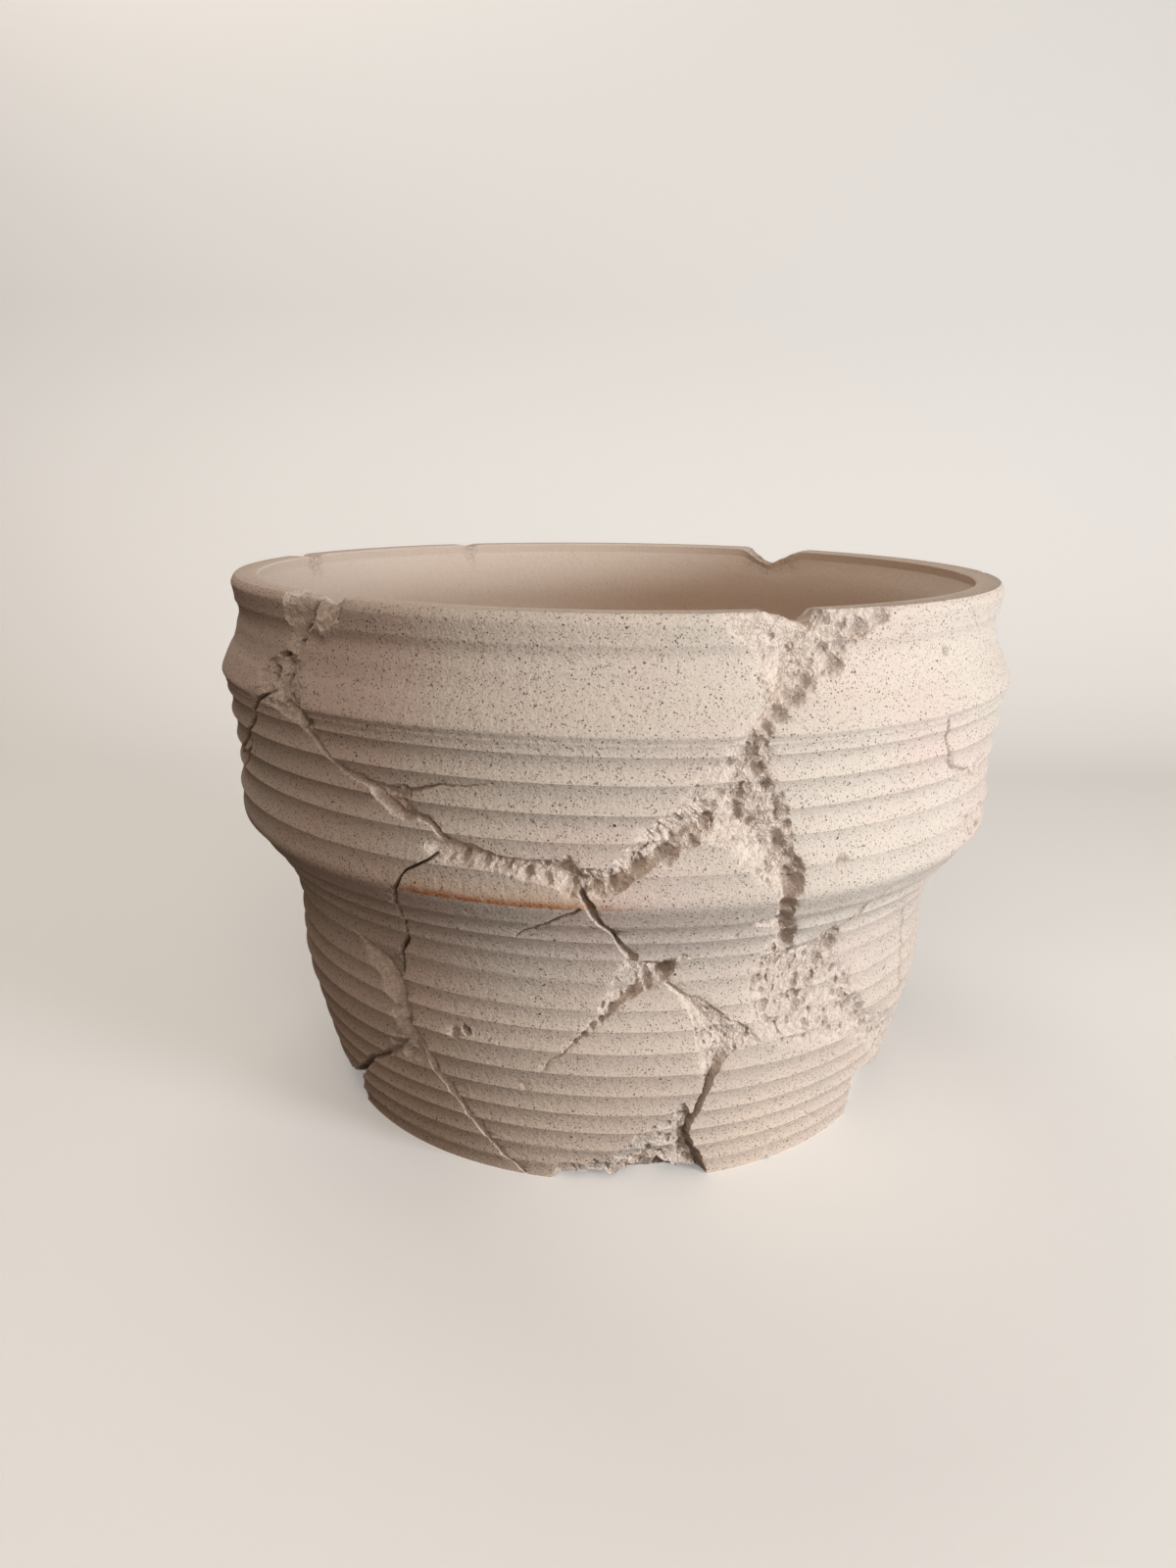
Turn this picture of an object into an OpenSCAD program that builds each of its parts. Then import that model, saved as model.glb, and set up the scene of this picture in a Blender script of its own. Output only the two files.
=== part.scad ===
// Wheel-thrown stoneware flower pot: wide ringed upper body over a narrower lower body,
// with wide cracks in its front wall, a broken rim and a chipped foot. It was fired as one piece.

/* [Overall size] */
// Diameter across the outside of the rim
rim_d = 260; // [236:1:320]
// Height from the ground to the top of the rim
pot_h = 178; // [148:1:220]
// Diameter across the ground face
base_d = 197; // [160:1:216]

/* [Body] */
// Largest diameter of the narrower lower body
lower_d = 224; // [200:1:230]
// Height of the lower body, up to where the overhang begins
lower_h = 74; // [60:1:90]
// Height of the sharp edge of the overhang, where the upper body begins
step_h = 101.5; // [84:0.5:110]
// Thickness of the wall
wall = 8; // [6.5:0.1:10]
// Thickness of the floor
floor_t = 10; // [8:0.5:14]
// Radius of the hollow where the floor meets the wall
floor_corner_r = 14; // [8:1:20]

/* [Rim] */
// Distance from the top of the rim down to the crest of the bead
bead_drop = 27.5; // [22:0.5:32]
// How far the bead stands out from the rim's diameter
bead_out = 3.5; // [2:0.5:6]
// Distance from the top of the rim down to the waist under it
neck_drop = 12; // [8:0.5:15]
// How far the waist is drawn in from the rim's diameter
neck_in = 3; // [1:0.5:4]
// Bevel on the outer edge of the rim
rim_bevel = 1.2; // [0.5:0.1:2]

/* [Throwing rings] */
// Number of finger rings round the lower body
lower_rings = 10; // [6:1:12]
// Number of finger rings up the overhang
step_rings = 4; // [2:1:5]
// Number of finger rings between the overhang and the bead
upper_rings = 6; // [4:1:8]
// Depth of the hollow between two rings
ring_depth = 0.7; // [0.4:0.1:1]

/* [Hidden] */

$fn = 96;
clay = [0.84, 0.79, 0.72];
// How far a cutter stands clear of the surface that it cuts
proud = 4;
// Steps between two stated points of a cutter
row_splits = 3;

rim_r = rim_d / 2;
base_r = base_d / 2;
lower_r = lower_d / 2;
bead_h = pot_h - bead_drop;
neck_h = pot_h - neck_drop;
// The bead's under edge is sharp and lies a little in from its crest
bead_edge = 2.5;
bead_edge_in = 0.5;
// The bead's top fades up to here, where it still stands out a little from the waist
bead_fade = 8;
bead_fade_out = 1;
// Curve of the side up from the ground, as [share of lower_h, share of the way out to lower_d]
foot_curve = [[0, 0], [0.1, 0.18], [0.25, 0.4], [0.42, 0.67], [0.6, 0.91], [0.8, 1]];

// Outside of the wall without its rings, as [height, radius]
wall_line = concat(
    [for (p = foot_curve) [p[0] * lower_h, base_r + p[1] * (lower_r - base_r)]],
    [
        [lower_h, lower_r],
        [step_h, rim_r],
        [(step_h + bead_h) / 2, rim_r],
        [bead_h - bead_edge, rim_r + bead_out - bead_edge_in],
        [bead_h, rim_r + bead_out],
        [bead_h + bead_fade, rim_r - neck_in + bead_fade_out],
        [neck_h, rim_r - neck_in],
        [pot_h - rim_bevel, rim_r],
    ]
);

function outer_r(h) = lookup(h, wall_line);

// Crests of the rings, from the ground to the bead's under edge
function ring_heights(from_h, to_h, count) =
    [for (i = [0 : count - 1]) from_h + i * (to_h - from_h) / count];
crests = concat(
    ring_heights(0, lower_h, lower_rings),
    ring_heights(lower_h, step_h, step_rings),
    ring_heights(step_h, bead_h - bead_edge, upper_rings),
    [bead_h - bead_edge]
);

// A ring's crest followed by the hollow above it, as [radius, height]
function ring(i) =
    let (low = crests[i], high = crests[i + 1], middle = (low + high) / 2)
    [[outer_r(low), low], [outer_r(middle) - ring_depth, middle]];

outside = concat(
    [for (i = [0 : len(crests) - 2]) each ring(i)],
    [for (p = wall_line) if (p[0] >= bead_h - bead_edge) [p[1], p[0]]],
    [[rim_r - rim_bevel, pot_h]]
);

// A point of the wall line moved square to the wall, into the clay
function inset(i, depth) =
    let (before = wall_line[i - 1], after = wall_line[i + 1], along = after - before)
    wall_line[i] + depth * [along[1], -along[0]] / norm(along);
corner_steps = 5;
corner_centre = [floor_t + floor_corner_r, outer_r(floor_t + floor_corner_r) - wall - floor_corner_r];
inside = concat(
    [[rim_r - wall, pot_h]],
    [for (i = [len(wall_line) - 2 : -1 : 1])
        if (inset(i, wall)[0] > corner_centre[0]) [inset(i, wall)[1], inset(i, wall)[0]]],
    [for (i = [0 : corner_steps])
        let (turn = 90 * i / corner_steps)
        [corner_centre[1] + floor_corner_r * cos(turn), corner_centre[0] - floor_corner_r * sin(turn)]]
);

// Places on the wall are an angle round the pot, 0 at the front and growing to the right,
// and a height in hundredths of the pot's height. Depths are shares of the wall.
function level(h) = h * pot_h / 100;
function at_radius(angle, height, r) = [r * sin(angle), -r * cos(angle), height];
function on_wall(angle, height, depth) = at_radius(angle, height, outer_r(height) - depth);

// Cracks, each a row of [angle, height, half-width in mm, depth]
left_side_crack = [
    [-47, 84.5, 2.5, 0.4], [-50, 83, 2, 0.4], [-53, 80.5, 2, 0.4], [-55.5, 77, 2, 0.4],
    [-58.5, 74.5, 1.8, 0.4], [-62, 71.5, 1.5, 0.35], [-66, 70, 0.6, 0.15],
];
left_front_crack = [
    [-40.5, 81, 1.5, 0.35], [-39.5, 78.5, 1.4, 0.35], [-36.5, 76, 1.3, 0.35], [-33, 73.5, 1.3, 0.35],
    [-30, 72.5, 2, 0.4], [-27, 71.5, 3.5, 0.45], [-24.5, 69.5, 3, 0.45], [-21.5, 67.5, 2, 0.4],
    [-19, 64, 2, 0.4],
];
left_spur = [[-25, 72, 1.5, 0.3], [-20, 74.5, 1, 0.25], [-14, 75.5, 0.4, 0.15]];
ridge = [
    [-21.5, 64.5, 3, 0.4], [-18, 64, 6, 0.5], [-13, 63, 6, 0.5], [-8, 62, 6, 0.5],
    [-4, 61, 7, 0.55], [-1, 61, 7, 0.55], [2, 63, 6, 0.5], [5, 66, 5, 0.45],
];
left_thin_crack = [
    [-21, 63, 1, 0.4], [-24, 61, 0.7, 0.35], [-26, 59, 0.7, 0.35], [-28, 55, 0.7, 0.35],
    [-30, 51, 0.8, 0.35], [-30.5, 46, 0.8, 0.35], [-33, 42, 1.2, 0.4], [-34, 39, 2, 0.4],
];
left_gouge = [
    [-44.5, 42, 0.8, 0.2], [-40.5, 39.5, 3, 0.45], [-37, 37.5, 6, 0.6], [-36, 35, 6.5, 0.65],
    [-35, 32, 5, 0.65], [-34, 29, 4.5, 0.6], [-33.5, 26, 6, 0.6], [-33.5, 23.5, 6, 0.5],
    [-32, 21.5, 4, 0.35],
];
left_foot_crack = [
    [-34.5, 24, 4, 0.5], [-36, 22, 3.5, 0.5], [-40, 19, 3, 0.5], [-43, 17, 3, 0.5],
    [-47, 14.5, 3, 0.5], [-50, 11.5, 3, 0.5], [-54, 8.5, 3, 0.45], [-60, 6, 3, 0.4],
    [-66, 5, 1, 0.2],
];
middle_foot_crack = [
    [-31, 24, 3, 0.5], [-29, 20.5, 2.2, 0.45], [-27, 17, 2, 0.45], [-24.5, 13, 1.8, 0.45],
    [-22, 9, 1.6, 0.4], [-21, 6, 1.2, 0.35], [-18, 3, 1, 0.3], [-13, -1, 1, 0.3],
];
centre_crack = [
    [-5, 64, 2, 0.5], [-4, 61, 1.6, 0.45], [-2.5, 57.5, 1.2, 0.45], [-1, 53.5, 1.1, 0.4],
    [1, 50, 1.1, 0.4], [2.5, 46.5, 1.8, 0.4], [4, 44.5, 4, 0.4], [4.5, 42, 7, 0.45],
    [3, 39, 4.5, 0.4], [0.5, 36, 2.5, 0.35], [-2.5, 33, 1.8, 0.35], [-6.5, 28, 1, 0.3],
    [-10, 23.5, 0.4, 0.15],
];
right_foot_crack = [
    [16, 23.5, 2, 0.4], [15.5, 18, 2.5, 0.5], [14, 14, 2.5, 0.5], [13.5, 10, 2.5, 0.5],
    [15, 6, 3, 0.5], [17, 2, 4, 0.5], [18, -1, 4, 0.5],
];
right_side_crack = [
    [44.7, 82, 0.5, 0.15], [45.7, 78.5, 1.2, 0.3], [48, 74, 1.5, 0.35], [52, 71.5, 1.5, 0.35],
    [55, 70, 3, 0.35], [59, 69, 3, 0.3], [62, 67, 0.8, 0.15],
];
edge_crack = [[50, 99, 0.5, 0.15], [53, 97, 0.8, 0.2], [56, 94, 0.8, 0.2], [58, 91, 0.4, 0.1]];
// Small chips, drawn as short cracks
gouge_chip = [[-24, 26, 0.5, 0.1], [-22.5, 28, 2.5, 0.3], [-21, 30, 0.5, 0.1]];
upper_chip = [[27.8, 61, 0.4, 0.1], [28.6, 62, 1.2, 0.25], [29.4, 63, 0.4, 0.1]];
neck_chip = [[45, 91.5, 0.5, 0.1], [46.5, 92, 2, 0.25], [48, 92.5, 0.5, 0.1]];
cracks = [
    left_side_crack, left_front_crack, left_spur, ridge, left_thin_crack, left_gouge,
    left_foot_crack, middle_foot_crack, centre_crack, right_foot_crack, right_side_crack,
    edge_crack, gouge_chip, upper_chip, neck_chip,
];

// Places where the face of the clay is lost, each a row of
// [height, angle of the left edge, of the deepest line, of the right edge, depth]
rim_right_break = [
    [102, 11, 20, 33.5, 0.7], [98.5, 11.5, 20, 33.5, 0.7], [96, 14, 20.5, 31, 0.7],
    [92.5, 16.5, 20.5, 27.5, 0.7], [88.5, 17, 19.5, 22.5, 0.65], [85, 15, 16.5, 19, 0.6],
    [81.5, 12, 14.5, 18, 0.6], [78, 10, 14, 18.5, 0.6], [74, 8, 12, 19, 0.6],
    [70.5, 5.5, 9.5, 20, 0.6], [67.5, 3, 6, 11, 0.5],
];
right_arm = [
    [71, 15, 17.5, 20.5, 0.4], [68, 15, 18, 21.5, 0.55], [64.5, 15, 19.5, 22.5, 0.6],
    [61, 17, 21, 23.5, 0.6], [57.5, 20, 22, 23.5, 0.55], [54, 21, 22.5, 24, 0.5],
    [50.5, 20.5, 23.5, 26, 0.5], [46.5, 22, 25, 28, 0.5],
];
crumbled_face = [
    [48, 31, 33, 35.5, 0.2], [45, 23, 30, 35.5, 0.35], [41, 22, 30, 36, 0.35],
    [37, 23, 31, 42, 0.3], [33, 24, 33, 43, 0.3], [29, 24.5, 36, 46, 0.3],
    [25.5, 29, 40, 49, 0.25], [22, 39, 46, 56, 0.2], [18, 48, 53, 60, 0.15],
];
rim_left_break = [
    [102, -46, -40, -34, 0.65], [98, -46, -40, -34, 0.65], [95.5, -45.5, -41, -37, 0.6],
    [92.5, -46, -44, -42, 0.5], [90, -47, -45, -43, 0.5], [88, -50, -46, -42, 0.5],
    [86.5, -51.5, -45.5, -41, 0.5], [84, -52, -45, -40, 0.5], [81.5, -48, -43, -39, 0.4],
    [79.5, -42, -40.5, -38.5, 0.3],
];
foot_wedge = [
    [42, 8, 9, 10, 0.2], [38.5, 9.8, 11.5, 13.8, 0.4], [35.5, 11.5, 14, 16.3, 0.5],
    [32, 12.6, 16.8, 19.5, 0.5], [28.5, 13.7, 17.8, 23.6, 0.5], [26, 14.4, 17.5, 20, 0.5],
    [23, 15, 16.6, 18, 0.5], [20.5, 15.2, 15.9, 16.8, 0.3],
];
breaks = [rim_right_break, right_arm, crumbled_face, rim_left_break, foot_wedge];
// Depth of a break at its edges, as a share of its deepest
lip_share = 0.35;

// Notches that go right through the rim: [angle, outline as [across, down from the rim]].
// An outline starts and ends above the rim.
rim_notches = [
    [21, [[-10, -1.5], [-5, 1.5], [-2.5, 1.8], [0.5, 3.2], [4, 4], [5.2, 2.4], [8.5, -1.5]]],
    [-38, [[-10, -2], [-1, 3.2], [-0.5, 5], [2.3, 3.2], [9.5, -2]]],
    [146.5, [[-18, -1.5], [-5, 4.5], [0, 7.5], [4, 6], [16, -1.5]]],
    [-108, [[-6, -2], [0, 2], [6, -2]]],
    [-148.5, [[-6, -1], [0, 1], [6, -1]]],
];
// Outline of the chip in the foot, as [across, up from the ground], and how far it goes in.
// It starts and ends below the ground.
foot_chip_angle = 5;
foot_chip = [
    [-30, -2.5], [-20, 2.5], [-9, 2.5], [-6, 1.8], [-3, 3], [-1.5, 5], [3, 6.5], [7.5, 7.3],
    [10.5, 5.5], [14.5, 4], [18, 4.2], [26, -2.5],
];
foot_chip_depth = 7;

// Closed solid through a row of sections that have the same number of points
module swept(sections) {
    sides = len(sections[0]);
    last = sides * (len(sections) - 1);
    walls = [for (i = [0 : sides : last - sides], j = [0 : sides - 1])
        let (a = i + j, b = i + (j + 1) % sides)
        each [[a, b, a + sides], [b, b + sides, a + sides]]];
    start = [for (j = [sides - 1 : -1 : 0]) j];
    end = [for (j = [0 : sides - 1]) last + j];
    polyhedron([for (s = sections) each s], concat(walls, [start, end]));
}

// The same rows with more between them, so that a cutter follows the bends of the wall
function finer(rows) = concat(
    [for (i = [0 : len(rows) - 2], k = [0 : row_splits - 1])
        rows[i] + (rows[i + 1] - rows[i]) * k / row_splits],
    [rows[len(rows) - 1]]
);

// A crack's point as [angle, height, angle and height from there to one lip, depth]
function crack_row(path, i) =
    let (
        height = level(path[i][1]),
        depth = path[i][3] * wall,
        before = path[max(i - 1, 0)],
        after = path[min(i + 1, len(path) - 1)],
        mm_per_degree = outer_r(height) * PI / 180,
        along = [(after[0] - before[0]) * mm_per_degree, level(after[1] - before[1])],
        reach = path[i][2] * (1 + proud / depth) / norm(along)
    )
    [path[i][0], height, reach * along[1] / mm_per_degree, -reach * along[0], depth];

// Section across a crack: its root in the clay, and its two lips clear of the wall both where
// they are and at the root's height, so that none of them dips in under the overhang
function crack_lip(row, side) =
    let (height = row[1] + side * row[3])
    at_radius(row[0] + side * row[2], height, max(outer_r(height), outer_r(row[1])) + proud);
function crack_section(row) = [crack_lip(row, -1), on_wall(row[0], row[1], row[4]), crack_lip(row, 1)];

module crack(path) {
    rows = finer([for (i = [0 : len(path) - 1]) crack_row(path, i)]);
    swept([for (row = rows) crack_section(row)]);
}

// Section across a break: steep at both edges, and deepest along its own line
function break_section(row) =
    let (height = level(row[0]), depth = row[4] * wall)
    [
        on_wall(row[1], height, -proud),
        on_wall(row[1], height, depth * lip_share),
        on_wall(row[2], height, depth),
        on_wall(row[3], height, depth * lip_share),
        on_wall(row[3], height, -proud),
    ];

module break_out(rows) {
    fine_rows = finer(rows);
    swept([for (i = [len(fine_rows) - 1 : -1 : 0]) break_section(fine_rows[i])]);
}

// Prism that runs radially from one radius to another, with its outline across the wall
module radial_cut(angle, from_r, to_r, outline) {
    rotate([0, 0, angle])
        translate([0, -from_r, 0])
            rotate([90, 0, 0])
                linear_extrude(to_r - from_r) polygon(outline);
}

module rim_notch(angle, outline) {
    lifted = [[outline[len(outline) - 1][0], -proud], [outline[0][0], -proud]];
    radial_cut(angle, rim_r - 2 * wall, rim_r + proud,
        [for (p = concat(outline, lifted)) [p[0], pot_h - p[1]]]);
}

module chipped_foot() {
    last = len(foot_chip) - 1;
    radial_cut(foot_chip_angle, base_r - foot_chip_depth, base_r + 2 * proud,
        concat(foot_chip, [[foot_chip[last][0], -proud], [foot_chip[0][0], -proud]]));
}

module thrown_body() {
    rotate_extrude() polygon(concat([[0, 0]], outside, inside, [[0, floor_t]]));
}

module pot() {
    color(clay)
        difference() {
            thrown_body();
            for (path = cracks) crack(path);
            for (rows = breaks) break_out(rows);
            for (n = rim_notches) rim_notch(n[0], n[1]);
            chipped_foot();
        }
}

pot();
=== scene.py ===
import math

import bmesh
import bpy
import numpy as np
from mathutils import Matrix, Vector


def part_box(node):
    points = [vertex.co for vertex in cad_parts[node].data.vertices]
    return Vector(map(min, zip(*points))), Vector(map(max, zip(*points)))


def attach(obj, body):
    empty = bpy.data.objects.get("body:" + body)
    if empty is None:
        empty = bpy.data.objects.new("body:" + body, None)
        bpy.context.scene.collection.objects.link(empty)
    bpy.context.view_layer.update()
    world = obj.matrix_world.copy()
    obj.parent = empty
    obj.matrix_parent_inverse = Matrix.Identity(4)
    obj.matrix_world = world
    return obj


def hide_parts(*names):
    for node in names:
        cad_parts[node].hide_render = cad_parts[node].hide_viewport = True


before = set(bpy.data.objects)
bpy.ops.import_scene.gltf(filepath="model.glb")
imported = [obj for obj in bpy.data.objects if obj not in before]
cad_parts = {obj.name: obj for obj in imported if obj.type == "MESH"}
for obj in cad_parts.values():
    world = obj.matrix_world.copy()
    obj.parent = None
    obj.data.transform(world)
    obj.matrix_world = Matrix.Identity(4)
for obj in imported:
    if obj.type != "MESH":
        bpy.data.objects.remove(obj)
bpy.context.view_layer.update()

# The looks of a cracked stoneware pot. The thrown body is one closed skin, made as a grid of
# columns round the pot and rows along its section: out under the foot, up the outside, over the
# rim, down the inside and across the floor. Every crack, break and chip moves that skin into
# the clay.
#
# Places on the pot are an angle in degrees, 0 at the front and growing to the right, and a
# height in mm. Lengths are in mm until the mesh is made.

LOW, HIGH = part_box("pot")
MM = 0.001
HEIGHT = HIGH.z / MM
# Keeps this round bead inside the frame's flat-sided one
BEAD_INSET = 0.05
BEAD_R = (HIGH.x - LOW.x) / 2 / MM - BEAD_INSET

# ---------------------------------------------------------------- the thrown body

WALL = 8.0
FLOOR_T = 10.0
FLOOR_CORNER_R = 14.0
# Outside of the wall, as a smooth curve through these places: height, and how far each lies
# inside the bead's crest
OUTSIDE = [
    (0, 35), (15, 30.5), (32, 26), (50, 22), (68, 21.5), (78, 19.5), (90, 13), (101, 4.4),
    (104, 3.4), (119, 3.9), (135, 2.2), (146, 0.8), (148, 0), (151.5, 1.1), (158, 4.3), (166, 6),
    (175, 4.4), (178, 5.5),
]
# Crests of the throwing rings, with the depth and the lean of the hollow above each one. A
# leaning hollow is deepest near the crest above it.
RINGS = [
    (0.0, 0.45, 0), (6.0, 0.6, 0), (13.0, 0.65, 0), (20.0, 0.65, 0), (27.0, 0.65, 0), (34.2, 0.7, 0),
    (42.0, 0.75, 0), (49.8, 0.75, 0), (57.2, 0.7, 0), (64.0, 0.6, 0), (73.4, 0.55, 0),
    (81.2, 0.75, 0), (87.8, 0.75, 0), (94.2, 0.7, 0), (101.2, 0.85, 0.2), (110.5, 0.95, 0.2),
    (119.4, 1.0, 0.2), (127.0, 1.0, 0.2), (135.2, 1.0, 0.2), (142.7, 0.2, 0.2), (145.6, 0.12, 0),
    (148.0, 0.2, 0), (155.0, 0.22, 0), (162.6, 0.45, 0.4), (170.1, 0.35, 0), (175.7, 0.0, 0),
    (178.0, 0.0, 0),
]
RIM_ROUND = 0.6


def smooth_curve(at, points):
    """Value of the curve through the points, which never swings past any of them."""
    places, values = (np.array(column, float) for column in zip(*points))
    steps = np.diff(places)
    slopes = np.diff(values) / steps
    before, after = slopes[:-1], slopes[1:]
    turns = before * after <= 0
    leans = np.where(turns, 0.0, 2 * before * after / np.where(turns, 1.0, before + after))
    leans = np.concatenate([slopes[:1], leans, slopes[-1:]])
    i = np.clip(np.searchsorted(places, at, side="right") - 1, 0, len(steps) - 1)
    share = np.clip((at - places[i]) / steps[i], 0, 1)
    left = 1 - share
    line = values[i] * (1 + 2 * share) * left**2 + values[i + 1] * (3 - 2 * share) * share**2
    return line + steps[i] * share * left * (leans[i] * left - leans[i + 1] * share)


def outside_r(height):
    """Radius of the outside of the wall at a height, before its rings."""
    return BEAD_R - smooth_curve(height, OUTSIDE)


def ring_hollow(height):
    """How far the hollows between the throwing rings lie inside the wall's line."""
    crests, depths, leans = (np.array(values) for values in zip(*RINGS))
    i = np.clip(np.searchsorted(crests, height, side="right") - 1, 0, len(crests) - 2)
    share = np.clip((height - crests[i]) / (crests[i + 1] - crests[i]), 0, 1)
    return depths[i] * 4 * share * (1 - share) * (1 + leans[i] * (2 * share - 1))


# ---------------------------------------------------------------- noise

ARC = 2.1  # mm along the wall for one degree


def hashed(ix, iy, seed):
    """A number from 0 to 1 for each cell of a grid, always the same."""
    cell = ix.astype(np.int64) * 73856093 + iy.astype(np.int64) * 19349663 + seed * 83492791
    mixed = (cell & 0xFFFFFFFF).astype(np.uint64)
    for _ in range(3):
        mixed = ((mixed ^ (mixed >> np.uint64(15))) * np.uint64(0x2C1B3C6D)) & np.uint64(0xFFFFFFFF)
    return (mixed >> np.uint64(8)).astype(float) / 0xFFFFFF


def soft_noise(x, y, size, seed):
    """Smooth noise from -1 to 1 with bumps of that size."""
    x, y = x / size, y / size
    ix, iy = np.floor(x), np.floor(y)
    fx, fy = x - ix, y - iy
    fx, fy = fx * fx * (3 - 2 * fx), fy * fy * (3 - 2 * fy)
    low = hashed(ix, iy, seed) * (1 - fx) + hashed(ix + 1, iy, seed) * fx
    high = hashed(ix, iy + 1, seed) * (1 - fx) + hashed(ix + 1, iy + 1, seed) * fx
    return 2 * (low * (1 - fy) + high * fy) - 1


def rough_noise(x, y, size, seed, octaves=3):
    """Noise with finer and finer bumps, from about -1 to 1."""
    total = sum(soft_noise(x, y, size / 2**i, seed + 31 * i) / 2**i for i in range(octaves))
    return total / 1.5


def cells(x, y, size, seed):
    """The nearest of a set of scattered places: how far off it is along x and y, and two numbers
    from 0 to 1 that belong to it."""
    x, y = x / size, y / size
    ix, iy = np.floor(x), np.floor(y)
    nearest = np.full(x.shape, 9.0)
    found = [np.zeros(x.shape) for _ in range(4)]
    for dx in (-1, 0, 1):
        for dy in (-1, 0, 1):
            cx = ix + dx + hashed(ix + dx, iy + dy, seed)
            cy = iy + dy + hashed(ix + dx, iy + dy, seed + 7)
            away = (x - cx) ** 2 + (y - cy) ** 2
            closer = away < nearest
            nearest = np.where(closer, away, nearest)
            own = (x - cx, y - cy, hashed(ix + dx, iy + dy, seed + 13), hashed(ix + dx, iy + dy, seed + 19))
            found = [np.where(closer, new, old) for new, old in zip(own, found)]
    return found


def pitted(x, y, size, share, seed):
    """Depth of pits of uneven size in a share of the scattered places, from 0 to 1."""
    dx, dy, wide, chosen = cells(x, y, size, seed)
    radius = 0.25 + 0.3 * wide
    pit = np.clip(1 - (dx * dx + dy * dy) / radius**2, 0, 1) ** 0.45
    return np.where(chosen < share, pit * (0.4 + 0.6 * wide), 0)


def faceted(x, y, size, seed):
    """Broken faces that each tilt their own way, from about -1 to 1."""
    dx, dy, tilt, level = cells(x, y, size, seed)
    turn = tilt * 2 * math.pi
    return 1.6 * (dx * np.cos(turn) + dy * np.sin(turn)) + 0.6 * (2 * level - 1)


# ---------------------------------------------------------------- the damage

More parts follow.
